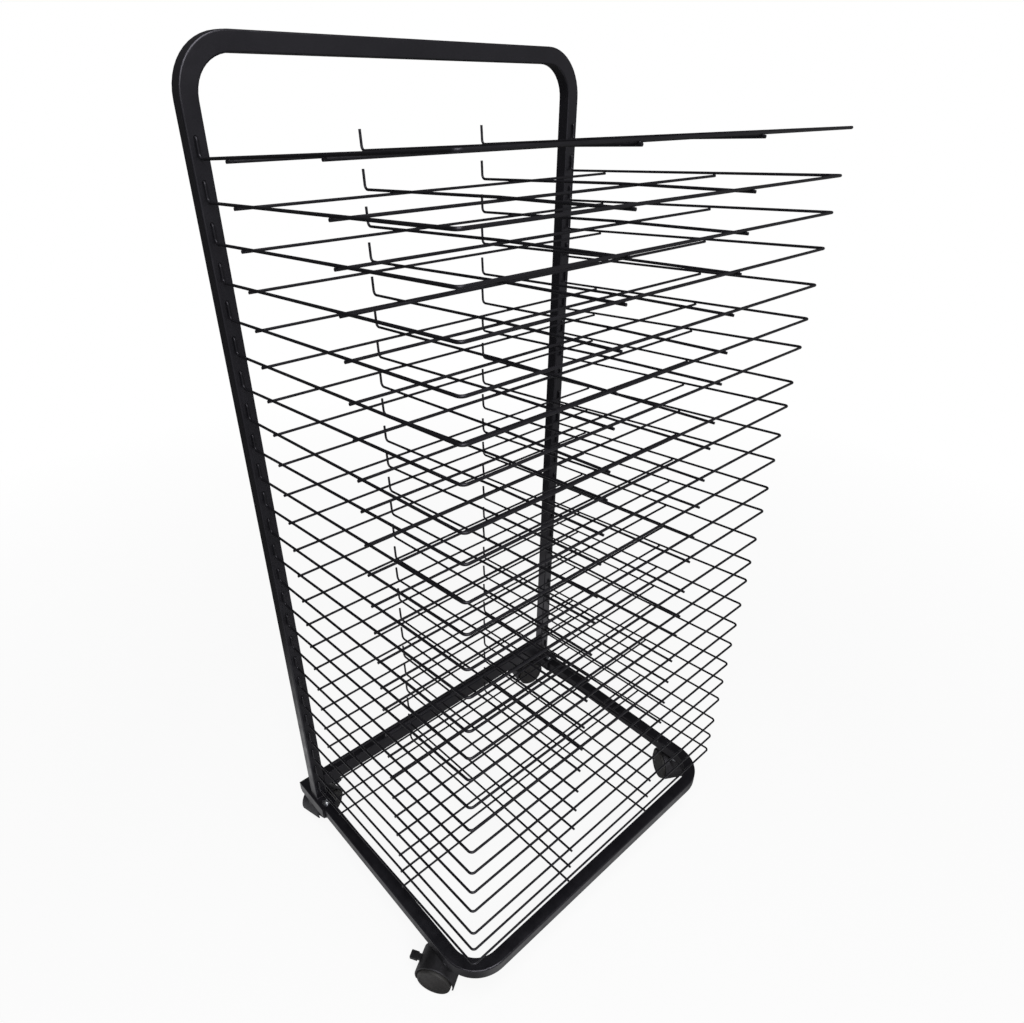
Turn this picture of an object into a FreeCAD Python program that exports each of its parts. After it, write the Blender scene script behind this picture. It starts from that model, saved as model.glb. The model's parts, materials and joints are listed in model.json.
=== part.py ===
import FreeCAD, Part
import math
import os

# Mobile art drying rack: an inverted U post frame on a U base with four twin
# wheel castors, and a tower of wire shelves hooked into holes in the posts.
# Frame: +Z up, floor at z = 0, X across the rack, the shelves reach towards -Y.
# Lengths in millimetres, angles in degrees.

Vec = FreeCAD.Vector

# ---------------------------------------------------------------- post frame
post_face_y = 162.32        # front face of the posts, behind the origin
post_spacing = 515.0        # between the centre lines of the two posts
post_width = 18.5
post_depth = 17.8
tube_wall = 1.2
tube_corner_radius = 2.0
top_bend_radius = 56.5      # outside of the two top bends
head_room = 104.0           # from the top shelf up to the top of the frame
crossbar_height = 25.0
crossbar_lift = 16.0        # from the top of the foot up to the crossbar

# -------------------------------------------------------------------- shelves
shelf_pitch = 38.0
lowest_shelf_lift = 18.0    # from the top of the foot up to the lowest shelf
shelf_depth = 385.0         # post face to the middle of the front wire
wire_diameter = 3.0
weld_seam = 0.05            # between two crossing wires where they are welded
shelf_corner_radius = 5.0
rear_bend_radius = 4.5
cross_wire_distances = (62.0, 232.0)
cross_wire_overhang = 1.5   # past the middle of the side wires
long_wire_offset = 85.8     # middle of the shelf to each long wire
long_wire_overhang = 3.0    # past the middle of the front wire
long_wire_dip_radius = 500.0
stop_distance = 12.3        # post face to the turned up paper stops
stop_height = 22.0
stop_bend_radius = 5.0
# How far the front of each shelf stands above its back, from the top down.
shelf_rises = (
    30.3, 24.5, 26.9, 28.5, 27.4,
    27.5, 32.3, 26.9, 34.6, 33.3,
    36.4, 33.4, 36.6, 29.8, 29.3,
    35.5, 29.8, 30.3, 29.8, 28.9,
    29.6, 29.3, 19.9, 21.7, 26.5,
)

# ------------------------------------------- shelf hooks and holes in the posts
riser_height = 18.0         # shelf wire up to the top of its hook
riser_gap = 0.3             # between the riser and the post face
hook_end_angle = 60.0       # how far the hook runs on past its top
hook_hole_clearance = 0.35
hook_offset = 1.5           # middle of the post out to the hook

# --------------------------------------------------------- base and its feet
arm_size = 18.5
base_bend_radius = 56.0     # outside of the two front bends
base_reach = 4.0            # outside of the front bar past the front wires
arm_end_distance = 10.0     # post face back to the rear end of each arm
foot_side_wall = 3.75
foot_floor_wall = 1.5
fit_gap = 0.25              # round the arm inside the foot
foot_front_distance = 23.0  # post face forward to the mouth of the foot
foot_rear_distance = 47.0   # post face back to the rear end of the foot
cap_flange = 2.5
cap_plug_depth = 6.0
cap_plug_wall = 2.0
cap_round = 6.0
bolt_distance = 15.0        # post face forward to the bolt
bolt_diameter = 6.0
bolt_hole_gap = 0.3
bolt_head_diameter = 11.0
bolt_head_height = 3.2
bolt_tail = 2.0
washer_diameter = 14.0
washer_thickness = 1.2
nut_width = 10.0
nut_height = 5.0

# ------------------------------------------------------------------- castors
front_castor_setback = 59.0  # outside of the front bar back to the stem
rear_castor_distance = 33.0  # post face back to the stem
front_castor_heading = 120.0
rear_castor_heading = 14.0
castor_trail = 16.0         # stem to axle
wheel_radius = 24.75
wheel_width = 16.5
wheel_edge_radius = 2.5
wheel_recess_depth = 0.7
wheel_recess_inner = 8.0
wheel_recess_rim = 5.0
wheel_gap = 0.7             # between each wheel and the middle web
web_thickness = 11.0
hood_gap = 2.25             # between the wheel tread and the hood
hood_wall = 2.0
wheel_proud = 3.7           # outer face of each wheel past the side of the hood
hood_lip_height = 17.0
stem_diameter = 7.0
stem_clearance = 0.06
stem_bottom = 31.0
stem_end_gap = 0.5
flange_diameter = 18.0
flange_thickness = 1.5
flange_gap = 0.3
thread_diameter = 8.0
thread_length = 13.0
thread_hole_gap = 0.2
boss_diameter = 20.0
boss_rise = 1.45            # crown of the hood up to the top of its boss
weld_nut_width = 13.0
weld_nut_height = 6.5
spacer_diameter = 17.0
axle_diameter = 6.0
axle_clearance = 0.06
axle_reach = 10.0           # how far the axle runs into each wheel
web_rear = 27.0             # stem to the rear end of the solid web
cheek_thickness = 1.3
lever_pivot_reach = 33.0    # stem to the lever pivot
lever_pivot_height = 36.0
lever_hub_radius = 3.5
lever_pin_radius = 1.5
lever_pin_clearance = 0.06
lever_side_gap = 0.3
lever_thickness = 5.0
pedal_start = 46.5
pedal_end = 57.7
pedal_width = 11.0
pedal_corner = 1.0
lever_slot_above = 4.0
lever_slot_below = 7.0

# -------------------------------------------------------------------- cutting
cut_past = 1.0              # how far the tool for a hook hole runs past the wall

# ------------------------------------------------------------ derived sizes
wire_radius = wire_diameter / 2
stack = wire_diameter + weld_seam
half_spacing = post_spacing / 2
hood_crown_z = 2 * wheel_radius + hood_gap + hood_wall
castor_height = hood_crown_z + boss_rise + flange_gap + flange_thickness
foot_bottom_z = castor_height
arm_bottom_z = foot_bottom_z + foot_floor_wall + fit_gap
arm_top_z = arm_bottom_z + arm_size
foot_top_z = arm_top_z + fit_gap + foot_floor_wall
foot_width = arm_size + 2 * fit_gap + 2 * foot_side_wall
foot_height = foot_top_z - foot_bottom_z
crossbar_z = foot_top_z + crossbar_lift
lowest_shelf_z = foot_top_z + lowest_shelf_lift
shelf_count = len(shelf_rises)
top_z = lowest_shelf_z + (shelf_count - 1) * shelf_pitch + head_room
front_bar_y = post_face_y - shelf_depth - base_reach
front_castor_y = front_bar_y + front_castor_setback
rear_castor_y = post_face_y + rear_castor_distance
riser_y = post_face_y - riser_gap - wire_radius
hook_radius = riser_gap + wire_radius + tube_wall / 2
pivot_y = post_face_y + tube_wall / 2
hook_x = half_spacing + hook_offset


def box(x0, x1, y0, y1, z0, z1):
    return Part.makeBox(x1 - x0, y1 - y0, z1 - z0, Vec(x0, y0, z0))


def cylinder(radius, start, end):
    along = end.sub(start)
    return Part.makeCylinder(radius, along.Length, start, along)


def mirrored(shape):
    return shape.mirror(Vec(0, 0, 0), Vec(1, 0, 0))


def rounded_wire(across, up, centre, width, height, radius):
    """Closed rounded rectangle in the plane of the two unit vectors."""
    def at(a, b):
        return centre + across * a + up * b

    w = width / 2
    h = height / 2
    s = radius * (1 - math.sqrt(0.5))
    corners = (
        ((w, h - radius), (w - s, h - s), (w - radius, h)),
        ((radius - w, h), (s - w, h - s), (-w, h - radius)),
        ((-w, radius - h), (s - w, s - h), (radius - w, -h)),
        ((w - radius, -h), (w - s, s - h), (w, radius - h)),
    )
    edges = []
    for i, (a, b, c) in enumerate(corners):
        edges.append(Part.Arc(at(*a), at(*b), at(*c)).toShape())
        start = corners[(i + 1) % 4][0]
        edges.append(Part.LineSegment(at(*c), at(*start)).toShape())
    return Part.Wire(edges)


def outward(solid):
    """The same solid, with its faces pointing outwards."""
    if solid.Volume < 0:
        solid.reverse()
    return solid


def swept_tube(across, up, centre, width, height, sweep):
    """Outside and hollow of one run of rectangular steel tube."""
    outer = rounded_wire(across, up, centre, width, height, tube_corner_radius)
    inner = rounded_wire(
        across, up, centre, width - 2 * tube_wall, height - 2 * tube_wall,
        tube_corner_radius - tube_wall)
    return [outward(sweep(Part.Face(outer))), outward(sweep(Part.Face(inner)))]


def joined_tube(runs):
    """Tube made of several runs that meet end to end."""
    outside = runs[0][0].fuse([run[0] for run in runs[1:]]).removeSplitter()
    hollow = runs[0][1].fuse([run[1] for run in runs[1:]]).removeSplitter()
    return outside.cut(hollow)


def mirrored_run(run):
    return [outward(mirrored(solid)) for solid in run]


def hexagon(width, x, y, z, height):
    radius = width / math.sqrt(3)
    points = []
    for i in range(7):
        a = math.radians(60 * i + 30)
        points.append(Vec(x + radius * math.cos(a), y + radius * math.sin(a), z))
    return outward(Part.Face(Part.makePolygon(points)).extrude(Vec(0, 0, height)))


def hex_nut(width, x, y, z, height, bore_radius):
    body = hexagon(width, x, y, z, height)
    return body.cut(Part.makeCylinder(bore_radius, height, Vec(x, y, z)))


def disc_ring(outer_radius, bore_radius, x, y, z, height):
    body = Part.makeCylinder(outer_radius, height, Vec(x, y, z))
    return body.cut(Part.makeCylinder(bore_radius, height, Vec(x, y, z)))


def shelf_height(index):
    """Height of the back of a shelf, counted from 0 at the top."""
    return lowest_shelf_z + (shelf_count - 1 - index) * shelf_pitch


def pivot_height(index):
    return shelf_height(index) + riser_height - hook_radius


# ---------------------------------------------------------------- post frame
def make_post_frame():
    """One bent tube, in its straight runs and bends, which meet end to end."""
    x_dir = Vec(1, 0, 0)
    y_dir = Vec(0, 1, 0)
    middle_y = post_face_y + post_depth / 2
    bend = top_bend_radius - post_width / 2
    bend_z = top_z - post_width / 2 - bend
    foot = Vec(-half_spacing, middle_y, foot_top_z)
    start = Vec(-half_spacing, middle_y, bend_z)
    bend_centre = Vec(bend - half_spacing, middle_y, bend_z)
    bar_start = Vec(bend - half_spacing, middle_y, top_z - post_width / 2)
    leg = swept_tube(x_dir, y_dir, foot, post_width, post_depth,
                     lambda face: face.extrude(Vec(0, 0, bend_z - foot_top_z)))
    corner = swept_tube(x_dir, y_dir, start, post_width, post_depth,
                        lambda face: face.revolve(bend_centre, y_dir, 90))
    bar = swept_tube(Vec(0, 0, 1), y_dir, bar_start, post_width, post_depth,
                     lambda face: face.extrude(Vec(post_spacing - 2 * bend, 0, 0)))
    runs = [leg, corner, bar, mirrored_run(corner), mirrored_run(leg)]
    holes = []
    for index in range(shelf_count):
        hole_z = pivot_height(index) + hook_hole_centre()
        for x in (-hook_x, hook_x):
            start = Vec(x, post_face_y - cut_past, hole_z)
            end = Vec(x, post_face_y + tube_wall + cut_past, hole_z)
            holes.append(cylinder(hook_hole_radius(), start, end))
    cutter = Part.makeCompound(holes)
    return Part.makeCompound([joined_tube([run]).cut(cutter) for run in runs])


def hook_lowest_in_wall():
    """Lowest point of the hook wire inside the wall, above the pivot."""
    inner = hook_radius - wire_radius
    return math.sqrt(inner ** 2 - (tube_wall / 2) ** 2)


def hook_hole_radius():
    tall = hook_radius + wire_radius - hook_lowest_in_wall()
    return tall / 2 + hook_hole_clearance


def hook_hole_centre():
    return (hook_radius + wire_radius + hook_lowest_in_wall()) / 2


def make_crossbar():
    start = Vec(post_width / 2 - half_spacing, post_face_y + post_depth / 2,
                crossbar_z + crossbar_height / 2)
    length = Vec(post_spacing - post_width, 0, 0)
    return joined_tube([swept_tube(Vec(0, 0, 1), Vec(0, 1, 0), start, crossbar_height,
                                   post_depth, lambda face: face.extrude(length))])


# -------------------------------------------------------------------- shelves
def bent_wire(edges, start, direction):
    """Round wire swept along edges that follow on from each other."""
    section = Part.makeCircle(wire_radius, start, direction)
    return Part.Wire(edges).makePipeShell([Part.Wire(section)], True, True)


def make_shelf(index):
    """One welded shelf: hooked outer wire, two cross wires, two long wires.

    The outer wire is made in its straight runs and bends, which meet end to
    end: hook, side, corner, front, corner, side and hook.
    """
    back_z = shelf_height(index)
    reach = shelf_depth - riser_gap - wire_radius
    tilt = math.atan2(shelf_rises[index], reach)
    length = reach / math.cos(tilt)
    front = Vec(0, -math.cos(tilt), math.sin(tilt))
    up = Vec(0, math.sin(tilt), math.cos(tilt))
    back = Vec(0, riser_y, back_z)
    pivot = Vec(0, pivot_y, pivot_height(index))
    turn = math.pi / 2 + tilt
    run_in = rear_bend_radius * math.tan(turn / 2)
    r = shelf_corner_radius

    def at(x, along, above):
        return back + Vec(x, 0, 0) + front * along + up * above

    def hook_point(x, angle):
        a = math.radians(angle)
        step = Vec(x, hook_radius * math.sin(a), hook_radius * math.cos(a))
        return pivot + step

    def make_hook(x):
        """Hook through the post wall, riser down the post and rear bend."""
        tip = hook_point(x, hook_end_angle)
        bend_start = Vec(x, riser_y, back_z + run_in)
        bend_centre = bend_start + Vec(0, -rear_bend_radius, 0)
        bend_middle = bend_centre + Vec(0, rear_bend_radius * math.cos(turn / 2),
                                        -rear_bend_radius * math.sin(turn / 2))
        hook = Part.Arc(tip, hook_point(x, (hook_end_angle - 90) / 2),
                        hook_point(x, -90))
        riser = Part.LineSegment(hook_point(x, -90), bend_start)
        bend = Part.Arc(bend_start, bend_middle, at(x, run_in, 0))
        a = math.radians(hook_end_angle)
        return bent_wire([hook.toShape(), riser.toShape(), bend.toShape()], tip,
                         Vec(0, math.cos(a), -math.sin(a)))

    def make_corner(x, inward):
        s = r * (1 - math.sqrt(0.5))
        start = at(x, length - r, 0)
        bend = Part.Arc(start, at(x + inward * s, length - s, 0),
                        at(x + inward * r, length, 0))
        return bent_wire([bend.toShape()], start, front)

    pieces = []
    for x, inward in ((-hook_x, 1), (hook_x, -1)):
        pieces.append(make_hook(x))
        pieces.append(cylinder(wire_radius, at(x, run_in, 0), at(x, length - r, 0)))
        pieces.append(make_corner(x, inward))
    pieces.append(cylinder(wire_radius, at(r - hook_x, length, 0),
                           at(hook_x - r, length, 0)))
    half_cross = hook_x + cross_wire_overhang
    for distance in cross_wire_distances:
        along = distance - riser_gap - wire_radius
        pieces.append(cylinder(wire_radius, at(-half_cross, along, -stack),
                               at(half_cross, along, -stack)))
    for x in (-long_wire_offset, long_wire_offset):
        pieces.append(make_long_wire(at, x, length))
    return Part.makeCompound(pieces)


def make_long_wire(at, x, length):
    """Long wire on the cross wires and under the front wire, with its paper stop."""
    stop = stop_distance - riser_gap - wire_radius
    knee = cross_wire_distances[-1] - riser_gap - wire_radius
    slope = math.atan2(stack, length - knee)
    lead = long_wire_dip_radius * math.tan(slope / 2)
    sag = long_wire_dip_radius * (1 - math.cos(slope / 2))
    r = stop_bend_radius
    s = r * (1 - math.sqrt(0.5))
    run = length + long_wire_overhang - knee
    points = [
        at(x, stop, stop_height - wire_radius),
        at(x, stop, r),
        at(x, stop + s, s),
        at(x, stop + r, 0),
        at(x, knee - lead, 0),
        at(x, knee - lead + long_wire_dip_radius * math.sin(slope / 2), -sag),
        at(x, knee + lead * math.cos(slope), -lead * math.sin(slope)),
        at(x, knee + run * math.cos(slope), -run * math.sin(slope)),
    ]
    edges = [
        Part.LineSegment(points[0], points[1]).toShape(),
        Part.Arc(points[1], points[2], points[3]).toShape(),
        Part.LineSegment(points[3], points[4]).toShape(),
        Part.Arc(points[4], points[5], points[6]).toShape(),
        Part.LineSegment(points[6], points[7]).toShape(),
    ]
    return bent_wire(edges, points[0], points[1].sub(points[0]))


# ----------------------------------------------------------- base and its feet
def castor_places():
    """Name, stem x, stem y, heading of the wheels behind the stem."""
    return (
        ("front_left", -half_spacing, front_castor_y, front_castor_heading),
        ("front_right", half_spacing, front_castor_y, 180 - front_castor_heading),
        ("rear_left", -half_spacing, rear_castor_y, rear_castor_heading),
        ("rear_right", half_spacing, rear_castor_y, 180 - rear_castor_heading),
    )


def make_base_frame():
    x_dir = Vec(1, 0, 0)
    z_dir = Vec(0, 0, 1)
    middle_z = (arm_bottom_z + arm_top_z) / 2
    rear_y = post_face_y + arm_end_distance
    bend = base_bend_radius - arm_size / 2
    bend_y = front_bar_y + base_bend_radius
    rear = Vec(-half_spacing, rear_y, middle_z)
    start = Vec(-half_spacing, bend_y, middle_z)
    bend_centre = Vec(bend - half_spacing, bend_y, middle_z)
    bar_start = Vec(bend - half_spacing, front_bar_y + arm_size / 2, middle_z)
    arm = swept_tube(x_dir, z_dir, rear, arm_size, arm_size,
                     lambda face: face.extrude(Vec(0, bend_y - rear_y, 0)))
    corner = swept_tube(x_dir, z_dir, start, arm_size, arm_size,
                        lambda face: face.revolve(bend_centre, z_dir, 90))
    bar = swept_tube(Vec(0, 1, 0), z_dir, bar_start, arm_size, arm_size,
                     lambda face: face.extrude(Vec(post_spacing - 2 * bend, 0, 0)))
    frame = joined_tube([arm, corner, bar, mirrored_run(corner), mirrored_run(arm)])
    cuts = []
    for x in (-half_spacing, half_spacing):
        bolt_y = post_face_y - bolt_distance
        cuts.append(cylinder(bolt_diameter / 2 + bolt_hole_gap,
                             Vec(x, bolt_y, arm_bottom_z - 1),
                             Vec(x, bolt_y, arm_top_z + 1)))
        cuts.append(cylinder(thread_diameter / 2 + thread_hole_gap,
                             Vec(x, front_castor_y, arm_bottom_z - 1),
                             Vec(x, front_castor_y, arm_bottom_z + tube_wall + 1)))
    return frame.cut(Part.makeCompound(cuts))


def make_foot(x):
    """Socket welded under a post; the base arm slides in from the front."""
    half = foot_width / 2
    inside = half - foot_side_wall
    front_y = post_face_y - foot_front_distance
    rear_y = post_face_y + foot_rear_distance
    foot = box(x - half, x + half, front_y, rear_y, foot_bottom_z, foot_top_z)
    edges = []
    for edge in foot.Edges:
        low, high = edge.Vertexes[0].Point, edge.Vertexes[-1].Point
        if abs(low.y - high.y) > 1:
            edges.append(edge)
    foot = foot.makeFillet(tube_corner_radius, edges)
    foot = foot.cut(box(x - inside, x + inside, front_y - 1, rear_y + 1,
                        foot_bottom_z + foot_floor_wall, foot_top_z - foot_floor_wall))
    bolt_y = post_face_y - bolt_distance
    foot = foot.cut(cylinder(bolt_diameter / 2 + bolt_hole_gap,
                             Vec(x, bolt_y, foot_bottom_z - 1),
                             Vec(x, bolt_y, foot_top_z + 1)))
    return foot.cut(cylinder(thread_diameter / 2 + thread_hole_gap,
                             Vec(x, rear_castor_y, foot_bottom_z - 1),
                             Vec(x, rear_castor_y, foot_bottom_z + foot_floor_wall + 1)))


def make_end_cap(x):
    """Moulded plug that closes the rear end of a foot."""
    half = foot_width / 2
    inside = half - foot_side_wall
    rear_y = post_face_y + foot_rear_distance
    flange = box(x - half, x + half, rear_y, rear_y + cap_flange,
                 foot_bottom_z, foot_top_z)
    edges = []
    for edge in flange.Edges:
        low, high = edge.Vertexes[0].Point, edge.Vertexes[-1].Point
        if abs(low.y - high.y) > 1:
            edges.append(edge)
    flange = flange.makeFillet(cap_round, [e for e in edges
                                           if e.CenterOfMass.z < foot_bottom_z + 1])
    plug = box(x - inside + fit_gap, x + inside - fit_gap,
               rear_y - cap_plug_depth, rear_y,
               foot_bottom_z + foot_floor_wall + fit_gap,
               foot_top_z - foot_floor_wall - fit_gap)
    hollow = box(x - inside + fit_gap + cap_plug_wall,
                 x + inside - fit_gap - cap_plug_wall,
                 rear_y - cap_plug_depth - 1, rear_y,
                 foot_bottom_z + foot_floor_wall + fit_gap + cap_plug_wall,
                 foot_top_z - foot_floor_wall - fit_gap - cap_plug_wall)
    return flange.fuse(plug.cut(hollow))


def make_bolt(x):
    y = post_face_y - bolt_distance
    seat_z = foot_top_z + washer_thickness
    head = Part.makeCylinder(bolt_head_diameter / 2, bolt_head_height, Vec(x, y, seat_z))
    head = head.makeFillet(bolt_head_height * 0.6,
                           [e for e in head.Edges if e.CenterOfMass.z > seat_z + 1
                            and abs(e.BoundBox.ZLength) < 0.01])
    shank_end = foot_bottom_z - nut_height - bolt_tail
    shank = cylinder(bolt_diameter / 2, Vec(x, y, shank_end), Vec(x, y, seat_z + 1))
    return head.fuse(shank)


# ------------------------------------------------------------------- castors
def placed(shape, x, y, heading):
    shape = shape.copy()
    shape.rotate(Vec(0, 0, 0), Vec(0, 0, 1), heading)
    shape.translate(Vec(x, y, 0))
    return shape


def side_cylinder(radius, reach, height, half_width):
    """Cylinder across the castor, about a line at the given reach and height."""
    return cylinder(radius, Vec(reach, -half_width, height),
                    Vec(reach, half_width, height))


def wheel_inner_face():
    return web_thickness / 2 + wheel_gap


def make_hood():
    inner_radius = wheel_radius + hood_gap
    outer_radius = inner_radius + hood_wall
    half_width = wheel_inner_face() + wheel_width - wheel_proud
    half_web = web_thickness / 2
    big = outer_radius + castor_trail
    shell = side_cylinder(outer_radius, castor_trail, wheel_radius, half_width)
    rim = []
    for edge in shell.Edges:
        if abs(edge.BoundBox.YLength) < 0.01:
            rim.append(edge)
    shell = shell.makeFillet(hood_wall * 0.6, rim)
    shell = shell.cut(box(-big, 2 * big, -big, big, -big, hood_lip_height))
    hood_top = castor_height - flange_thickness - flange_gap
    boss = Part.makeCylinder(boss_diameter / 2, hood_top - wheel_radius,
                             Vec(0, 0, wheel_radius))
    hood = shell.fuse(boss)
    for side in (-1, 1):
        near = half_web
        space = Part.makeCylinder(inner_radius, big, Vec(castor_trail, side * near,
                                                         wheel_radius),
                                  Vec(0, side, 0))
        hood = hood.cut(space)
    slot = side_cylinder(inner_radius, castor_trail, wheel_radius, half_web)
    behind = slot.common(box(web_rear, 2 * big, -big, big, -big, 2 * big))
    hood = hood.cut(behind)
    cheek_z = lever_pivot_height + lever_hub_radius
    for side in (-1, 1):
        y0 = min(side * half_web, side * (half_web - cheek_thickness))
        cheek = box(web_rear - 1, lever_pivot_reach, y0, y0 + cheek_thickness,
                    lever_pivot_height - lever_hub_radius, cheek_z)
        end = Part.makeCylinder(lever_hub_radius, cheek_thickness,
                                Vec(lever_pivot_reach, y0, lever_pivot_height),
                                Vec(0, 1, 0))
        hood = hood.fuse(cheek.fuse(end))
    lever_half = lever_half_width() + lever_side_gap
    hood = hood.cut(box(castor_trail + wheel_radius * 0.7, 2 * big,
                        -lever_half, lever_half,
                        lever_pivot_height - lever_slot_below,
                        lever_pivot_height + lever_slot_above))
    hood = hood.cut(side_cylinder(lever_pin_radius + lever_pin_clearance,
                                  lever_pivot_reach, lever_pivot_height, half_web + 1))
    hood = hood.cut(side_cylinder(axle_diameter / 2, castor_trail, wheel_radius,
                                  half_web + 1))
    return hood.cut(cylinder(stem_diameter / 2 + stem_clearance,
                             Vec(0, 0, stem_bottom - stem_end_gap),
                             Vec(0, 0, castor_height)))


def lever_half_width():
    return web_thickness / 2 - cheek_thickness - lever_side_gap


def make_wheel(side):
    """Closed twin wheel with a blind bore for the axle on its inner side."""
    near = wheel_inner_face()
    far = near + wheel_width
    r = wheel_edge_radius
    s = r * (1 - math.sqrt(0.5))
    rim = wheel_radius - wheel_recess_rim
    bore = axle_diameter / 2 + axle_clearance
    depth = near + axle_reach - wheel_gap + 0.5

    def at(radius, across):
        return Vec(castor_trail, side * across, wheel_radius + radius)

    edges = [
        Part.LineSegment(at(bore, near), at(wheel_radius - r, near)),
        Part.Arc(at(wheel_radius - r, near), at(wheel_radius - s, near + s),
                 at(wheel_radius, near + r)),
        Part.LineSegment(at(wheel_radius, near + r), at(wheel_radius, far - r)),
        Part.Arc(at(wheel_radius, far - r), at(wheel_radius - s, far - s),
                 at(wheel_radius - r, far)),
        Part.LineSegment(at(wheel_radius - r, far), at(rim, far)),
        Part.LineSegment(at(rim, far), at(rim - wheel_recess_depth,
                                          far - wheel_recess_depth)),
        Part.LineSegment(at(rim - wheel_recess_depth, far - wheel_recess_depth),
                         at(wheel_recess_inner + wheel_recess_depth,
                            far - wheel_recess_depth)),
        Part.LineSegment(at(wheel_recess_inner + wheel_recess_depth,
                            far - wheel_recess_depth), at(wheel_recess_inner, far)),
        Part.LineSegment(at(wheel_recess_inner, far), at(0, far)),
        Part.LineSegment(at(0, far), at(0, depth)),
        Part.LineSegment(at(0, depth), at(bore, depth)),
        Part.LineSegment(at(bore, depth), at(bore, near)),
    ]
    face = Part.Face(Part.Wire([edge.toShape() for edge in edges]))
    return outward(face.revolve(Vec(castor_trail, 0, wheel_radius), Vec(0, 1, 0), 360))


def make_axle():
    half = web_thickness / 2 + axle_reach
    return side_cylinder(axle_diameter / 2, castor_trail, wheel_radius, half)


def make_lever():
    """Brake pedal with a narrow shank and two moulded pivot pins."""
    half = lever_half_width()
    low = lever_pivot_height - lever_thickness / 2
    high = lever_pivot_height + lever_thickness / 2
    shank = box(lever_pivot_reach, pedal_start + 1, -half, half, low, high)
    hub = side_cylinder(lever_hub_radius, lever_pivot_reach, lever_pivot_height, half)
    pins = side_cylinder(lever_pin_radius, lever_pivot_reach, lever_pivot_height,
                         web_thickness / 2)
    pedal = box(pedal_start, pedal_end, -pedal_width / 2, pedal_width / 2, low, high)
    corners = []
    for edge in pedal.Edges:
        if abs(edge.BoundBox.ZLength) > 1 and edge.CenterOfMass.x > pedal_end - 1:
            corners.append(edge)
    pedal = pedal.makeFillet(pedal_corner, corners)
    return shank.fuse([hub, pins, pedal])


def make_stem(x, y, base_z):
    """Fixed castor stem: swivel pin, flange and thread into the weld nut."""
    flange_z = castor_height - flange_thickness
    inside_z = flange_z + flange_thickness / 3
    pin = cylinder(stem_diameter / 2, Vec(x, y, stem_bottom), Vec(x, y, inside_z))
    flange = Part.makeCylinder(flange_diameter / 2, flange_thickness,
                               Vec(x, y, flange_z))
    thread = cylinder(thread_diameter / 2, Vec(x, y, inside_z),
                      Vec(x, y, base_z + thread_length))
    return flange.fuse([pin, thread])


nodes = {}
nodes["post_frame"] = make_post_frame()
nodes["crossbar"] = make_crossbar()
nodes["base_frame"] = make_base_frame()
nodes["foot_left"] = make_foot(-half_spacing)
nodes["foot_right"] = make_foot(half_spacing)

caps = []
bolts = []
washers = []
nuts = []
for side_x in (-half_spacing, half_spacing):
    bolt_y = post_face_y - bolt_distance
    caps.append(make_end_cap(side_x))
    bolts.append(make_bolt(side_x))
    washers.append(disc_ring(washer_diameter / 2, bolt_diameter / 2, side_x, bolt_y,
                             foot_top_z, washer_thickness))
    nuts.append(hex_nut(nut_width, side_x, bolt_y, foot_bottom_z - nut_height,
                        nut_height, bolt_diameter / 2))
nodes["foot_end_caps"] = Part.makeCompound(caps)
nodes["base_bolts"] = Part.makeCompound(bolts)
nodes["base_washers"] = Part.makeCompound(washers)
nodes["base_nuts"] = Part.makeCompound(nuts)

stems = []
weld_nuts = []
spacers = []
for place, stem_x, stem_y, heading in castor_places():
    wall = tube_wall
    under_z = arm_bottom_z
    if place.startswith("rear"):
        wall = foot_floor_wall
        under_z = foot_bottom_z
    else:
        spacers.append(disc_ring(spacer_diameter / 2, thread_diameter / 2, stem_x,
                                 stem_y, castor_height, arm_bottom_z - castor_height))
    stems.append(make_stem(stem_x, stem_y, under_z))
    weld_nuts.append(hex_nut(weld_nut_width, stem_x, stem_y, under_z + wall,
                             weld_nut_height, thread_diameter / 2))
    for name, shape in (
            ("hood", make_hood()),
            ("axle", make_axle()),
            ("wheel_a", make_wheel(-1)),
            ("wheel_b", make_wheel(1)),
            ("brake", make_lever())):
        nodes["castor_%s_%s" % (place, name)] = placed(shape, stem_x, stem_y, heading)
nodes["castor_stems"] = Part.makeCompound(stems)
nodes["castor_weld_nuts"] = Part.makeCompound(weld_nuts)
nodes["castor_spacers"] = Part.makeCompound(spacers)

for number in range(shelf_count):
    nodes["shelf_%02d" % (number + 1)] = make_shelf(number)

os.makedirs("parts", exist_ok=True)
for name, shape in nodes.items():
    shape.exportStep("parts/%s.step" % name)
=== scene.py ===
import json
import math
import random

import bmesh
import bpy
from mathutils import Matrix, Vector


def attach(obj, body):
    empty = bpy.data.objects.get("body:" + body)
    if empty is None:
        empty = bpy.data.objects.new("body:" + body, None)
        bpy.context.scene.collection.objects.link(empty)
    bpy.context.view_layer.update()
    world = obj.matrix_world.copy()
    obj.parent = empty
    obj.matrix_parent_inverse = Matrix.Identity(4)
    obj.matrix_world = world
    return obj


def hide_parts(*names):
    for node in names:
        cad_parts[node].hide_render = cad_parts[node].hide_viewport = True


# Looks of the art drying rack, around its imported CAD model: weld nuggets and
# beads, bolts, wheels and pedal ribs as meshes, a procedural material on every
# piece, and the studio. Lengths in metres; +Z up, the shelves reach towards -Y.

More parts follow.
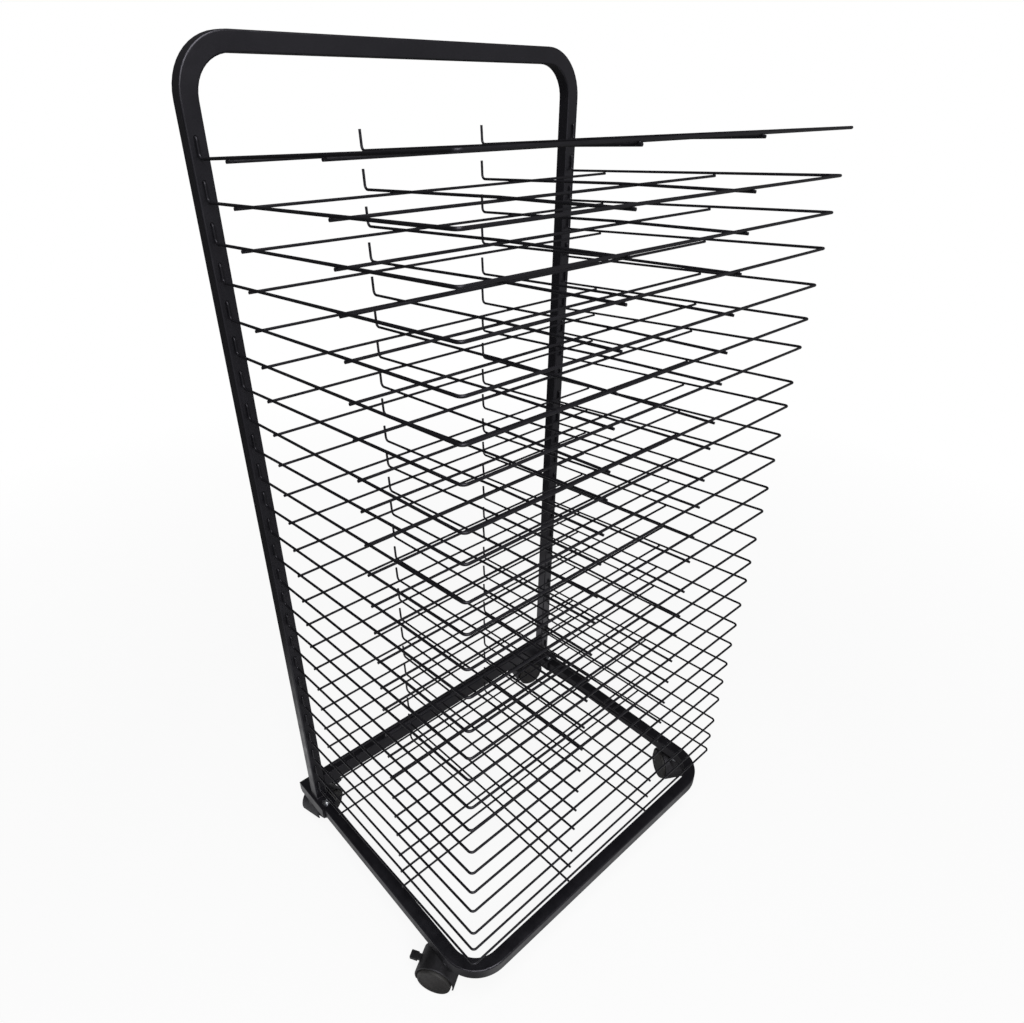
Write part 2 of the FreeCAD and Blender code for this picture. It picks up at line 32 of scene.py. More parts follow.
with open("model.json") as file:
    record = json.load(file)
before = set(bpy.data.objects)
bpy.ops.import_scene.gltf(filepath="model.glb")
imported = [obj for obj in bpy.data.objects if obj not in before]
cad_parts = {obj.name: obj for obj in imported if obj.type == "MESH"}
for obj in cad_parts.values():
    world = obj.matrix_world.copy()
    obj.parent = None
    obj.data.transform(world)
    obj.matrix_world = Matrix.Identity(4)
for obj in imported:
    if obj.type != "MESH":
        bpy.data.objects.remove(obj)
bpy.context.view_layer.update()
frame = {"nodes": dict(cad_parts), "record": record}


# ------------------------------------------------- sizes of the part's source
POST_FACE_Y = 0.16232           # front face of the posts, behind the origin
POST_DEPTH = 0.0178
POST_WIDTH = 0.0185
HALF_SPACING = 0.2575           # middle of the rack to the middle of each post
TUBE_CORNER = 0.002             # corner radius of the posts
FOOT_BOTTOM = 0.057
FOOT_TOP = 0.079
CROSSBAR_EDGES = (0.095, 0.120)     # heights of its lower and upper face
BOLT_DISTANCE = 0.015           # post face forward to the bolts
WASHER_THICKNESS = 0.0012
BOLT_BELOW_FOOT = 0.007         # nut and tail of the bolt

LOWEST_SHELF = 0.097            # height of the back of the lowest shelf
SHELF_PITCH = 0.038
SHELF_DEPTH = 0.385             # post face to the middle of the front wire
RISER_OUT = 0.0018              # post face to the middle of the risers
STACK = 0.00305                 # between the middles of two crossing wires
CROSS_WIRE_DISTANCES = (0.062, 0.232)   # post face to each cross wire
SIDE_WIRE_X = 0.2590            # middle of the rack to each side wire
LONG_WIRE_X = 0.0858            # middle of the rack to each long wire
# How far the front of each shelf stands above its back, from the top down, in
# millimetres.
SHELF_RISES_MM = (
    30.3, 24.5, 26.9, 28.5, 27.4,
    27.5, 32.3, 26.9, 34.6, 33.3,
    36.4, 33.4, 36.6, 29.8, 29.3,
    35.5, 29.8, 30.3, 29.8, 28.9,
    29.6, 29.3, 19.9, 21.7, 26.5,
)

FRONT_CASTOR_DISTANCE = 0.330   # post face forward to the stems
REAR_CASTOR_DISTANCE = 0.033    # post face back to the stems
FRONT_CASTOR_Y = POST_FACE_Y - FRONT_CASTOR_DISTANCE
REAR_CASTOR_Y = POST_FACE_Y + REAR_CASTOR_DISTANCE
# Name, place of the stem, and heading in degrees.
CASTORS = (
    ("castor_front_left", -HALF_SPACING, FRONT_CASTOR_Y, 120.0),
    ("castor_front_right", HALF_SPACING, FRONT_CASTOR_Y, 60.0),
    ("castor_rear_left", -HALF_SPACING, REAR_CASTOR_Y, 14.0),
    ("castor_rear_right", HALF_SPACING, REAR_CASTOR_Y, 166.0),
)
TRAIL = 0.016                   # stem to axle
WHEEL_RADIUS = 0.02475
WHEEL_INSIDE = 0.0062           # middle of the castor to the inside of a wheel
WHEEL_BORE_RADIUS = 0.00306
WHEEL_BORE_DEPTH = 0.0100

# -------------------------------------------------- sizes of the details here
NUGGET_HALF_WIDTH = 0.00135
NUGGET_HALF_LENGTH = 0.00155
NUGGET_HALF_HEIGHT = 0.00095
NUGGET_SPREAD = (0.85, 1.2)     # least and most of that width and length
NUGGET_HEIGHT_SPREAD = (0.9, 1.15)
NUGGET_LUMPS = 0.12             # share of its size that its lumps add or take
NUGGET_WAVES = (9.0, 7.0)       # radians of lumps from its middle to its edge
NUGGET_SHIFT = 900              # radians that its lumps shift for each metre
NUGGET_SEED = 300

BEAD_RADIUS = 0.0011
BEAD_RIPPLE = 0.16              # share of the radius that each ripple adds or takes
BEAD_RIPPLE_TURN = 2.4          # radians of ripple from one point to the next
BEAD_WOBBLE = 0.05              # share of the radius that chance adds or takes
BEAD_SIDES = 8
BEAD_STEP = 0.0008
BEAD_LIFT = 0.0002              # of the bead round a post, above the foot
BEAD_END = 0.0015               # post face to the end of a bead on the crossbar
BEAD_PIECES = 20                # in a bead on the crossbar
BEAD_SEED = 41
OFF_AXIS = Vector((0.31, 0.23, 0.92))   # a direction along which no bead runs

BOLT_SIDES = 48
BOLT_RADIUS = 0.0030
BOLT_TAIL_RADIUS = 0.0022
BOLT_TAIL_BEVEL = 0.0009
# Outline of the button head: radius and height above the washer.
BOLT_HEAD = (
    (0.0053, 0.0), (0.0055, 0.0003), (0.0054, 0.0011), (0.0049, 0.0020),
    (0.0041, 0.0027), (0.0031, 0.0031), (0.0025, 0.0032),
)
SOCKET_HALF_WIDTH = 0.00196
SOCKET_TOP = 0.0031             # above the washer
SOCKET_DEPTH = 0.0018
SOCKET_TIP = 0.0009             # above the washer

WHEEL_SIDES = 96
TREAD_FROM = 0.0238             # faces further out than this are tread
# Outline of a wheel, from the rim of its bore over the tread, with a groove in
# its middle, to the rim and domed face: radius and distance from its inside, in
# millimetres.
WHEEL_OUTLINE_MM = (
    (3.06, 0.0), (21.6, 0.0), (23.2, 0.25), (24.2, 0.9), (24.6, 1.8),
    (24.75, 3.0), (24.75, 7.8), (24.62, 8.0), (24.62, 8.4), (24.75, 8.6),
    (24.75, 13.2), (24.62, 14.4), (24.2, 15.4), (23.5, 16.1), (22.5, 16.43),
    (21.2, 16.5), (20.5, 16.42), (20.1, 16.2), (19.9, 15.95), (19.5, 15.8),
    (18.9, 15.78), (16.0, 15.9), (12.5, 16.05), (9.6, 16.15), (6.4, 16.24),
    (3.6, 16.3), (1.5, 16.32), (0.0, 16.32),
)

RIB_REACHES = (0.0490, 0.0508, 0.0526, 0.0544)     # stem to each rib
RIB_HALF_LENGTH = 0.0043
# Height above the floor and half width of a rib, from its foot to its top.
RIB_SECTION = ((0.0383, 0.00042), (0.0388, 0.00036), (0.03902, 0.0002))

# ----------------------------------------------- the photograph and its camera
IMAGE_WIDTH = 1024
IMAGE_MIDDLE = (511.5, 511.0)           # pixels
OPTICAL_CENTRE = (504.380, 526.998)     # pixels
FOCAL_LENGTH = 715.861                  # pixels
SENSOR_WIDTH = 36.0                     # millimetres
CAMERA_PLACE = (-0.56093, -0.59450, 1.07343)
CAMERA_YAW = 42.9276                    # degrees, as the two below
CAMERA_PITCH = 31.8302
CAMERA_ROLL = 0.7515


# ------------------------------------------------------------------ materials
def new_material(name):
    material = bpy.data.materials.new(name)
    material.use_nodes = True
    nodes = material.node_tree.nodes
    nodes.clear()
    out = nodes.new("ShaderNodeOutputMaterial")
    shader = nodes.new("ShaderNodeBsdfPrincipled")
    material.node_tree.links.new(shader.outputs[0], out.inputs[0])
    return material, shader


def noise(material, scale, detail, roughness=0.5):
    nodes = material.node_tree.nodes
    place = nodes.new("ShaderNodeTexCoord")
    texture = nodes.new("ShaderNodeTexNoise")
    texture.inputs["Scale"].default_value = scale
    texture.inputs["Detail"].default_value = detail
    texture.inputs["Roughness"].default_value = roughness
    material.node_tree.links.new(place.outputs["Object"], texture.inputs["Vector"])
    return texture.outputs[0]


def map_range(tree, value, start, end, low, high):
    """A value that runs from low to high while the given one runs start to end."""
    node = tree.nodes.new("ShaderNodeMapRange")
    node.inputs["From Min"].default_value = start
    node.inputs["From Max"].default_value = end
    node.inputs["To Min"].default_value = low
    node.inputs["To Max"].default_value = high
    tree.links.new(value, node.inputs["Value"])
    return node.outputs["Result"]


def spread(material, pattern, low, high):
    """Stretches the middle of a noise pattern over the given range."""
    return map_range(material.node_tree, pattern, start=0.35, end=0.65,
                     low=low, high=high)


def colours(material, pattern, dark, light):
    """Blends two colours by a noise pattern."""
    node = material.node_tree.nodes.new("ShaderNodeValToRGB")
    stops = ((0.3, dark), (0.7, light))
    for element, (position, colour) in zip(node.color_ramp.elements, stops):
        element.position = position
        element.color = (*colour, 1.0)
    material.node_tree.links.new(pattern, node.inputs[0])
    return node.outputs[0]


def bump(material, height, strength, distance, below=None):
    node = material.node_tree.nodes.new("ShaderNodeBump")
    node.inputs["Strength"].default_value = strength
    node.inputs["Distance"].default_value = distance
    material.node_tree.links.new(height, node.inputs["Height"])
    if below is not None:
        material.node_tree.links.new(below, node.inputs["Normal"])
    return node.outputs[0]


COOL_GLOSS = (0.91, 0.885, 1.0, 1.0)
PLAIN_GLOSS = (1.0, 1.0, 1.0, 1.0)


def powder_coat(name, dark, light, rough, specular, peel, scale):
    """Black powder coat: fine orange peel, slow changes of tone and gloss."""
    material, shader = new_material(name)
    links = material.node_tree.links
    tone = noise(material, scale=22.0, detail=4.0)
    links.new(colours(material, tone, dark, light), shader.inputs["Base Color"])
    gloss = noise(material, scale=60.0, detail=2.0)
    links.new(spread(material, gloss, low=rough - 0.05, high=rough + 0.06),
              shader.inputs["Roughness"])
    fine = noise(material, scale=scale, detail=2.0, roughness=0.6)
    wave = noise(material, scale=scale * 0.28, detail=2.0)
    soft = bump(material, wave, strength=peel * 0.6, distance=0.0004)
    links.new(bump(material, fine, strength=peel, distance=0.00012, below=soft),
              shader.inputs["Normal"])
    shader.inputs["Specular IOR Level"].default_value = specular
    shader.inputs["Specular Tint"].default_value = COOL_GLOSS
    return material


def moulded(name, dark, light, rough, grain, scale, specular=0.5, tint=PLAIN_GLOSS):
    """Moulded black plastic: fine grain, slow changes of tone and gloss."""
    material, shader = new_material(name)
    links = material.node_tree.links
    tone = noise(material, scale=70.0, detail=3.0)
    links.new(colours(material, tone, dark, light), shader.inputs["Base Color"])
    gloss = noise(material, scale=180.0, detail=2.0)
    links.new(spread(material, gloss, low=rough - 0.06, high=rough + 0.07),
              shader.inputs["Roughness"])
    fine = noise(material, scale=scale, detail=2.0, roughness=0.7)
    links.new(bump(material, fine, strength=grain, distance=0.00008),
              shader.inputs["Normal"])
    shader.inputs["Specular IOR Level"].default_value = specular
    shader.inputs["Specular Tint"].default_value = tint
    return material


def zinc(name, dark, light, rough):
    """Bright zinc plating: fine marks and cloudy passivation."""
    material, shader = new_material(name)
    links = material.node_tree.links
    cloud = noise(material, scale=240.0, detail=4.0)
    links.new(colours(material, cloud, dark, light), shader.inputs["Base Color"])
    gloss = noise(material, scale=500.0, detail=3.0)
    links.new(spread(material, gloss, low=rough - 0.07, high=rough + 0.1),
              shader.inputs["Roughness"])
    fine = noise(material, scale=2600.0, detail=1.0)
    links.new(bump(material, fine, strength=0.12, distance=0.00005),
              shader.inputs["Normal"])
    shader.inputs["Metallic"].default_value = 1.0
    return material


FRAME_PAINT = powder_coat(
    "black_powder_coat", dark=(0.0048, 0.0046, 0.0060), light=(0.0075, 0.0072, 0.0092),
    rough=0.38, specular=0.54, peel=0.22, scale=1500.0)
SHELF_PAINT = powder_coat(
    "black_wire_coat", dark=(0.0040, 0.0038, 0.0050), light=(0.0065, 0.0062, 0.0078),
    rough=0.42, specular=0.43, peel=0.18, scale=2200.0)
HOOD_PLASTIC = moulded(
    "castor_nylon", dark=(0.008, 0.008, 0.0085), light=(0.013, 0.0125, 0.013),
    rough=0.46, grain=0.20, scale=3200.0, tint=COOL_GLOSS)
WHEEL_PLASTIC = moulded(
    "wheel_nylon", dark=(0.0145, 0.0132, 0.0135), light=(0.0215, 0.0194, 0.0196),
    rough=0.48, grain=0.16, scale=2600.0, specular=0.42)
TREAD_PLASTIC = moulded(
    "tread_nylon", dark=(0.018, 0.017, 0.017), light=(0.027, 0.025, 0.024),
    rough=0.62, grain=0.35, scale=1800.0)
CAP_PLASTIC = moulded(
    "end_cap_plastic", dark=(0.007, 0.007, 0.0075), light=(0.011, 0.011, 0.0115),
    rough=0.38, grain=0.14, scale=3600.0)
ZINC = zinc("bright_zinc", dark=(0.36, 0.37, 0.39), light=(0.50, 0.51, 0.53), rough=0.30)

SLOT_MATERIALS = {
    "frame_paint": FRAME_PAINT,
    "shelf_paint": SHELF_PAINT,
    "zinc_steel": ZINC,
    "castor_plastic": HOOD_PLASTIC,
    "wheel_plastic": WHEEL_PLASTIC,
    "cap_plastic": CAP_PLASTIC,
}


def paint(obj, *materials):
    obj.data.materials.clear()
    for material in materials:
        obj.data.materials.append(material)


for row in frame["record"]["subparts"]:
    paint(frame["nodes"][row["node"]], SLOT_MATERIALS[row["material_slot"]])


# -------------------------------------------------------------- mesh building
def add_mesh(name, mesh, body, slot, *materials):
    obj = bpy.data.objects.new(name, mesh)
    bpy.context.scene.collection.objects.link(obj)
    paint(obj, *materials)
    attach(obj, body)
    return obj


def mesh_from(name, build, sharp_angle):
    """A smooth mesh whose edges stay sharp where they bend by more degrees."""
    work = bmesh.new()
    build(work)
    bmesh.ops.recalc_face_normals(work, faces=work.faces)
    limit = math.radians(sharp_angle)
    for face in work.faces:
        face.smooth = True
    for edge in work.edges:
        if len(edge.link_faces) == 2 and edge.calc_face_angle(0.0) > limit:
            edge.smooth = False
    mesh = bpy.data.meshes.new(name)
    work.to_mesh(mesh)
    work.free()
    return mesh


def lathe(work, profile, place, sides):
    """Turns a list of (radius, height) about an axis; place maps a local point."""
    rings = []
    for radius, height in profile:
        if radius == 0.0:
            rings.append([work.verts.new(place(Vector((0, 0, height))))])
            continue
        ring = []
        for k in range(sides):
            a = 2 * math.pi * k / sides
            ring.append(work.verts.new(place(Vector((
                radius * math.cos(a), radius * math.sin(a), height)))))
        rings.append(ring)
    for one, two in zip(rings, rings[1:]):
        for k in range(sides):
            n = (k + 1) % sides
            if len(one) == 1:
                work.faces.new((one[0], two[k], two[n]))
            elif len(two) == 1:
                work.faces.new((one[k], one[n], two[0]))
            else:
                work.faces.new((one[k], one[n], two[n], two[k]))
    return rings


# --------------------------------------------------------------- shelf nuggets
def shelf_tilt(index):
    return math.atan2(SHELF_RISES_MM[index] / 1000, SHELF_DEPTH - RISER_OUT)


def shelf_point(index, x, along, above):
    """A point on a shelf: across, along its slope from the back, above its plane."""
    tilt = shelf_tilt(index)
    back_z = LOWEST_SHELF + (len(SHELF_RISES_MM) - 1 - index) * SHELF_PITCH
    return Vector((
        x,
        POST_FACE_Y - RISER_OUT - math.cos(tilt) * along + math.sin(tilt) * above,
        back_z + math.sin(tilt) * along + math.cos(tilt) * above))


def add_nugget(work, centre, rng):
    """One squashed spot weld between two crossing wires."""
    verts = bmesh.ops.create_icosphere(work, subdivisions=2, radius=1.0)["verts"]
    width = NUGGET_HALF_WIDTH * rng.uniform(*NUGGET_SPREAD)
    length = NUGGET_HALF_LENGTH * rng.uniform(*NUGGET_SPREAD)
    height = NUGGET_HALF_HEIGHT * rng.uniform(*NUGGET_HEIGHT_SPREAD)
    for vert in verts:
        wave = (NUGGET_WAVES[0] * vert.co.x + NUGGET_WAVES[1] * vert.co.y
                + centre.x * NUGGET_SHIFT)
        lump = 1.0 + NUGGET_LUMPS * math.sin(wave)
        vert.co = Vector((vert.co.x * width * lump, vert.co.y * length * lump,
                          vert.co.z * height))
        vert.co += centre


def shelf_welds(index):
    """The ten nuggets of one shelf: eight on its cross wires, two at its front."""
    rng = random.Random(NUGGET_SEED + index)
    length = (SHELF_DEPTH - RISER_OUT) / math.cos(shelf_tilt(index))

    def build(work):
        for distance in CROSS_WIRE_DISTANCES:
            along = distance - RISER_OUT
            for x in (-SIDE_WIRE_X, -LONG_WIRE_X, LONG_WIRE_X, SIDE_WIRE_X):
                add_nugget(work, shelf_point(index, x, along, -STACK / 2), rng)
        for x in (-LONG_WIRE_X, LONG_WIRE_X):
            add_nugget(work, shelf_point(index, x, length, -STACK / 2), rng)

    body = "shelf_%02d" % (index + 1)
    mesh = mesh_from(body + "_welds", build, sharp_angle=60.0)
    add_mesh(body + "_welds", mesh, body, "shelf_paint", SHELF_PAINT)


for shelf_index in range(len(SHELF_RISES_MM)):
    shelf_welds(shelf_index)


# --------------------------------------------------------------- frame welds
def weld_bead(work, points, closed, rng):
    """A weld bead: a rippled round tube along a list of points."""
    count = len(points)
    rings = []
    for i, point in enumerate(points):
        before = points[i - 1] if closed or i > 0 else point
        after = points[(i + 1) % count] if closed or i < count - 1 else point
        along = (after - before).normalized()
        side = along.cross(OFF_AXIS).normalized()
        other = along.cross(side)
        ripple = BEAD_RIPPLE * math.sin(i * BEAD_RIPPLE_TURN)
        size = BEAD_RADIUS * (1.0 + ripple + rng.uniform(-BEAD_WOBBLE, BEAD_WOBBLE))
        ring = []
        for k in range(BEAD_SIDES):
            a = 2 * math.pi * k / BEAD_SIDES
            spot = point + (side * math.cos(a) + other * math.sin(a)) * size
            ring.append(work.verts.new(spot))
        rings.append(ring)
    last = count if closed else count - 1
    for i in range(last):
        one = rings[i]
        two = rings[(i + 1) % count]
        for k in range(BEAD_SIDES):
            n = (k + 1) % BEAD_SIDES
            work.faces.new((one[k], one[n], two[n], two[k]))
    if not closed:
        work.faces.new(rings[0])
        work.faces.new(list(reversed(rings[-1])))


def rectangle_path(centre, half_x, half_y, corner, step):
    """Points round a level rounded rectangle."""
    x, y, z = centre
    points = []
    for i, (sx, sy) in enumerate(((1, 1), (-1, 1), (-1, -1), (1, -1))):
        for k in range(4):
            a = math.radians(90 * i + 30 * k)
            points.append(Vector((
                x + sx * (half_x - corner) + corner * math.cos(a),
                y + sy * (half_y - corner) + corner * math.sin(a), z)))
    dense = []
    for i, point in enumerate(points):
        after = points[(i + 1) % len(points)]
        pieces = max(1, int((after - point).length / step))
        for k in range(pieces):
            dense.append(point.lerp(after, k / pieces))
    return dense


def frame_welds():
    """Beads round the foot of each post and along the crossbar's ends."""
    rng = random.Random(BEAD_SEED)
    middle_y = POST_FACE_Y + POST_DEPTH / 2

    def build(work):
        for x in (-HALF_SPACING, HALF_SPACING):
            loop = rectangle_path((x, middle_y, FOOT_TOP + BEAD_LIFT), POST_WIDTH / 2,
                                  POST_DEPTH / 2, TUBE_CORNER, BEAD_STEP)
            weld_bead(work, loop, True, rng)
            inner = x - math.copysign(POST_WIDTH / 2, x)
            for z in CROSSBAR_EDGES:
                start = Vector((inner, middle_y - POST_DEPTH / 2 + BEAD_END, z))
                end = Vector((inner, middle_y + POST_DEPTH / 2 - BEAD_END, z))
                run = [start.lerp(end, k / BEAD_PIECES) for k in range(BEAD_PIECES + 1)]
                weld_bead(work, run, False, rng)

    mesh = mesh_from("frame_welds", build, sharp_angle=50.0)
    add_mesh("frame_welds", mesh, "frame", "frame_paint", FRAME_PAINT)


frame_welds()


# ----------------------------------------------------------- bolts in the feet
def add_bolt(work, x):
    """Button head bolt with a hexagon socket, its shank and bevelled tail."""
    seat = FOOT_TOP + WASHER_THICKNESS
    tail = FOOT_BOTTOM - BOLT_BELOW_FOOT
    y = POST_FACE_Y - BOLT_DISTANCE

    def place(point):
        return Vector((x + point.x, y + point.y, point.z))

    outside = [(0.0, tail), (BOLT_TAIL_RADIUS, tail),
               (BOLT_RADIUS, tail + BOLT_TAIL_BEVEL), (BOLT_RADIUS, seat)]
    outside += [(radius, seat + height) for radius, height in BOLT_HEAD]
    rim = lathe(work, outside, place, BOLT_SIDES)[-1]
    upper = []
    lower = []
    for k in range(BOLT_SIDES):
        a = 2 * math.pi * k / BOLT_SIDES
        off_flat = math.radians((math.degrees(a) % 60) - 30)
        r = SOCKET_HALF_WIDTH / math.cos(off_flat)
        spot = Vector((r * math.cos(a), r * math.sin(a), seat + SOCKET_TOP))
        upper.append(work.verts.new(place(spot)))
        lower.append(work.verts.new(place(spot - Vector((0, 0, SOCKET_DEPTH)))))
    tip = work.verts.new(place(Vector((0, 0, seat + SOCKET_TIP))))
    for k in range(BOLT_SIDES):
        n = (k + 1) % BOLT_SIDES
        work.faces.new((rim[k], rim[n], upper[n], upper[k]))
        work.faces.new((upper[k], upper[n], lower[n], lower[k]))
        work.faces.new((lower[k], lower[n], tip))


def foot_bolts():
    def build(work):
        for x in (-HALF_SPACING, HALF_SPACING):
            add_bolt(work, x)

    mesh = mesh_from("foot_bolts", build, sharp_angle=32.0)
    bolts = add_mesh("foot_bolts", mesh, "frame", "zinc_steel", ZINC)
    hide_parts("base_bolts")


foot_bolts()


# -------------------------------------------------------------------- castors
def castor_place(x, y, heading):
    """Maps a point of a castor that heads along +X to its place under the rack."""
    turn = Matrix.Rotation(math.radians(heading), 3, "Z")

    def place(point):
        return turn @ point + Vector((x, y, 0))

    return place


def castor_wheel(name, x, y, heading, side):
    """A wheel with its tread groove, rim and domed face, on one side (1 or -1)."""
    place = castor_place(x, y, heading)
    across = Matrix(((1, 0, 0), (0, 0, side), (0, -side, 0)))

    def wheel_place(point):
        local = across @ point
        return place(Vector((TRAIL + local.x, local.y, WHEEL_RADIUS + local.z)))

    def build(work):
        profile = [(0.0, WHEEL_INSIDE + WHEEL_BORE_DEPTH),
                   (WHEEL_BORE_RADIUS, WHEEL_INSIDE + WHEEL_BORE_DEPTH)]
        for radius, distance in WHEEL_OUTLINE_MM:
            profile.append((radius / 1000, distance / 1000 + WHEEL_INSIDE))
        lathe(work, profile, wheel_place, WHEEL_SIDES)

    mesh = mesh_from(name, build, sharp_angle=28.0)
    body = name.replace("_face", "")
    wheel = add_mesh(name, mesh, body, "wheel_plastic", WHEEL_PLASTIC, TREAD_PLASTIC)
    hub = place(Vector((TRAIL, 0, WHEEL_RADIUS)))
    axis = place(Vector((0, side, 0))) - place(Vector((0, 0, 0)))
    for face in mesh.polygons:
        centre = Vector(face.center) - hub
        radius = (centre - axis * centre.dot(axis)).length
        face.material_index = 1 if radius > TREAD_FROM else 0
    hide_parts(body)


def pedal_ribs(name, x, y, heading):
    """Grip ribs moulded across the top of the brake pedal."""
    place = castor_place(x, y, heading)

    def build(work):
        for reach in RIB_REACHES:
            rows = []
            for height, half in RIB_SECTION:
                ring = []
                for u, v in ((-half, -RIB_HALF_LENGTH), (half, -RIB_HALF_LENGTH),
                             (half, RIB_HALF_LENGTH), (-half, RIB_HALF_LENGTH)):
                    ring.append(work.verts.new(place(Vector((reach + u, v, height)))))
                rows.append(ring)
            for one, two in zip(rows, rows[1:]):
                for k in range(4):
                    n = (k + 1) % 4
                    work.faces.new((one[k], one[n], two[n], two[k]))
            work.faces.new(rows[-1])
            work.faces.new(list(reversed(rows[0])))

    mesh = mesh_from(name + "_pedal_ribs", build, sharp_angle=30.0)
    add_mesh(name + "_pedal_ribs", mesh, name + "_brake", "castor_plastic", HOOD_PLASTIC)


for castor, castor_x, castor_y, castor_heading in CASTORS:
    castor_wheel(castor + "_wheel_a_face", castor_x, castor_y, castor_heading, -1)
    castor_wheel(castor + "_wheel_b_face", castor_x, castor_y, castor_heading, 1)
    pedal_ribs(castor, castor_x, castor_y, castor_heading)


# ------------------------------------------------------------------- the floor
def math_node(tree, operation, one, two=None):
    """Joins sockets or plain numbers by one operation."""
    node = tree.nodes.new("ShaderNodeMath")
    node.operation = operation
    for socket, value in zip(node.inputs, (one, two)):
        if isinstance(value, (int, float)):
            socket.default_value = value
        elif value is not None:
            tree.links.new(value, socket)
    return node.outputs[0]


def length_of(tree, vector):
    node = tree.nodes.new("ShaderNodeVectorMath")
    node.operation = "LENGTH"
    tree.links.new(vector, node.inputs[0])
    return node.outputs["Value"]


def castor_shade(tree, wide, depth):
    """Painted shade in the floor's reflection: darker spots near the two front castors."""
    spot_x = 0.28
    spot_y = -0.205
    squeeze = 2.2               # of each spot, from side to side
    away = tree.nodes.new("ShaderNodeCombineXYZ")
    beside = math_node(tree, "SUBTRACT", wide, spot_x)
    tree.links.new(math_node(tree, "MULTIPLY", beside, squeeze), away.inputs["X"])
    tree.links.new(math_node(tree, "ADD", depth, -spot_y), away.inputs["Y"])
    return map_range(tree, length_of(tree, away.outputs[0]), start=0.03, end=0.14,
                     low=0.3, high=1.0)


def painted_floor_reflection(tree, place):
    """How light the floor looks in the black paint, as painted light and shade: a painted
    pool of light in a band about 0.1 m outside the base, painted shadow under it and near
    the front castors, less further out, and lighter towards the front."""
    split = tree.nodes.new("ShaderNodeSeparateXYZ")
    tree.links.new(place, split.inputs[0])
    depth = split.outputs["Y"]
    wide = math_node(tree, "ABSOLUTE", split.outputs["X"])
    edge = math_node(tree, "MAXIMUM", math_node(tree, "MULTIPLY", wide, 0.82),
                     math_node(tree, "ABSOLUTE", depth))
    # Painted shadow of the rack: the floor is darker in reflections under the base.
    painted_rack_shadow = map_range(tree, edge, start=0.205, end=0.31, low=0.25, high=1.0)
    outside = map_range(tree, edge, start=0.30, end=0.63, low=1.0, high=0.0)
    # Painted light: a band of light round the base, darkened by the painted castor shade.
    painted_light_band = math_node(tree, "MULTIPLY", painted_rack_shadow, outside)
    painted_light_band = math_node(tree, "MULTIPLY", painted_light_band, castor_shade(tree, wide, depth))
    # Painted light: the floor looks lighter in reflections towards the front.
    front = map_range(tree, depth, start=0.2, end=-0.8, low=0.05, high=0.32)
    return math_node(tree, "MAXIMUM", painted_light_band, front)


def make_floor():
    """White studio paper: plain white to the camera, with a soft shadow."""
    work = bmesh.new()
    bmesh.ops.create_grid(work, x_segments=1, y_segments=1, size=9.0)
    mesh = bpy.data.meshes.new("studio_floor")
    work.to_mesh(mesh)
    work.free()
    floor = bpy.data.objects.new("studio_floor", mesh)
    bpy.context.scene.collection.objects.link(floor)
    material = bpy.data.materials.new("studio_floor")
    material.use_nodes = True
    tree = material.node_tree
    tree.nodes.clear()
    place = tree.nodes.new("ShaderNodeTexCoord").outputs["Object"]
    path = tree.nodes.new("ShaderNodeLightPath")
    camera_ray = path.outputs["Is Camera Ray"]

    # Painted reflection: glossy and transmission rays see the floor glow with the painted
    # light and shade; camera rays see it plain white.
    other = math_node(tree, "SUBTRACT", 1.0, camera_ray)
    painted_reflection_level = math_node(tree, "MULTIPLY", painted_floor_reflection(tree, place), other)
    level = math_node(tree, "ADD", camera_ray, painted_reflection_level)

    # The share that glows: less of it near the rack leaves room for the shadow.
    seen = map_range(tree, length_of(tree, place), start=0.7, end=2.0,
                     low=0.90, high=1.0)
    share = math_node(tree, "MULTIPLY", camera_ray, seen)
    share = math_node(tree, "MAXIMUM", share, path.outputs["Is Glossy Ray"])
    share = math_node(tree, "MAXIMUM", share, path.outputs["Is Transmission Ray"])

    paper = tree.nodes.new("ShaderNodeBsdfDiffuse")
    paper.inputs["Color"].default_value = (0.88, 0.88, 0.88, 1)
    white = tree.nodes.new("ShaderNodeEmission")
    tree.links.new(level, white.inputs["Strength"])
    mix = tree.nodes.new("ShaderNodeMixShader")
    tree.links.new(share, mix.inputs[0])
    tree.links.new(paper.outputs[0], mix.inputs[1])
    tree.links.new(white.outputs[0], mix.inputs[2])
    out = tree.nodes.new("ShaderNodeOutputMaterial")
    tree.links.new(mix.outputs[0], out.inputs[0])
    floor.data.materials.append(material)


make_floor()


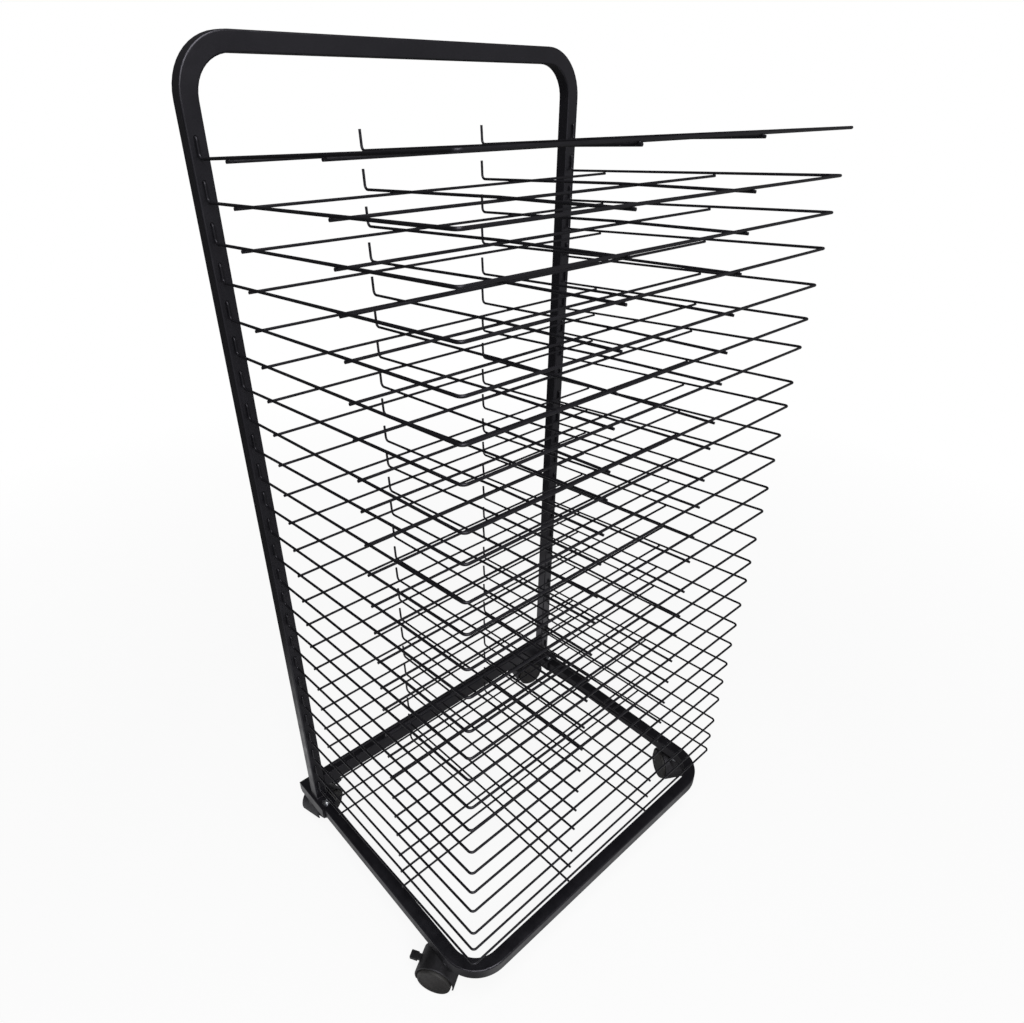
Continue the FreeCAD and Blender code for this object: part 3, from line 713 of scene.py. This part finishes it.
# ------------------------------------------------------------ light and camera
def make_world():
    """A room that lights the rack more from the front than from behind and above,
    and is plain white to the camera."""
    world = bpy.data.worlds.new("studio")
    bpy.context.scene.world = world
    world.use_nodes = True
    tree = world.node_tree
    tree.nodes.clear()
    aim = tree.nodes.new("ShaderNodeTexCoord").outputs["Generated"]
    split = tree.nodes.new("ShaderNodeSeparateXYZ")
    tree.links.new(aim, split.inputs[0])
    depth = split.outputs["Y"]
    front = map_range(tree, depth, start=0.1, end=-0.8, low=0.08, high=0.36)
    above = map_range(tree, split.outputs["Z"], start=0.15, end=0.7, low=1.0, high=0.7)
    soft = tree.nodes.new("ShaderNodeBackground")
    tree.links.new(math_node(tree, "MULTIPLY", front, above), soft.inputs["Strength"])

    white = tree.nodes.new("ShaderNodeBackground")
    white.inputs["Color"].default_value = (1, 1, 1, 1)
    white.inputs["Strength"].default_value = 1.0
    path = tree.nodes.new("ShaderNodeLightPath")
    share = math_node(tree, "MAXIMUM", path.outputs["Is Camera Ray"],
                      path.outputs["Is Transmission Ray"])
    shine = map_range(tree, depth, start=0.1, end=-0.8, low=0.0, high=0.12)
    shine = math_node(tree, "MULTIPLY", path.outputs["Is Glossy Ray"], shine)

    mix = tree.nodes.new("ShaderNodeMixShader")
    tree.links.new(math_node(tree, "MAXIMUM", share, shine), mix.inputs[0])
    tree.links.new(soft.outputs[0], mix.inputs[1])
    tree.links.new(white.outputs[0], mix.inputs[2])
    out = tree.nodes.new("ShaderNodeOutputWorld")
    tree.links.new(mix.outputs[0], out.inputs[0])


def add_softbox(name, place, target, size, power):
    data = bpy.data.lights.new(name, "AREA")
    data.shape = "RECTANGLE"
    data.size = size
    data.size_y = size
    data.energy = power
    lamp = bpy.data.objects.new(name, data)
    bpy.context.scene.collection.objects.link(lamp)
    lamp.location = place
    aim = Vector(target) - Vector(place)
    lamp.rotation_euler = aim.to_track_quat("-Z", "Y").to_euler()


def make_camera():
    yaw = math.radians(CAMERA_YAW)
    pitch = math.radians(CAMERA_PITCH)
    roll = math.radians(CAMERA_ROLL)
    forward = Vector((math.sin(yaw) * math.cos(pitch),
                      math.cos(yaw) * math.cos(pitch), -math.sin(pitch)))
    right = forward.cross(Vector((0, 0, 1))).normalized()
    up = right.cross(forward)
    side = right * math.cos(roll) + up * math.sin(roll)
    top = up * math.cos(roll) - right * math.sin(roll)
    turn = Matrix((side, top, -forward)).transposed()

    data = bpy.data.cameras.new("photo_camera")
    data.sensor_width = SENSOR_WIDTH
    data.lens = FOCAL_LENGTH * SENSOR_WIDTH / IMAGE_WIDTH
    data.shift_x = (IMAGE_MIDDLE[0] - OPTICAL_CENTRE[0]) / IMAGE_WIDTH
    data.shift_y = (OPTICAL_CENTRE[1] - IMAGE_MIDDLE[1]) / IMAGE_WIDTH
    camera = bpy.data.objects.new("photo_camera", data)
    bpy.context.scene.collection.objects.link(camera)
    camera.matrix_world = Matrix.Translation(CAMERA_PLACE) @ turn.to_4x4()
    bpy.context.scene.camera = camera


make_world()
add_softbox("key_softbox", place=(-1.6, -2.2, 2.6), target=(0, 0, 0.5), size=1.8, power=60)
add_softbox("top_softbox", place=(-0.5, -0.8, 3.1), target=(0, 0, 0.4), size=1.6, power=45)
make_camera()
bpy.context.scene.view_settings.view_transform = "Standard"
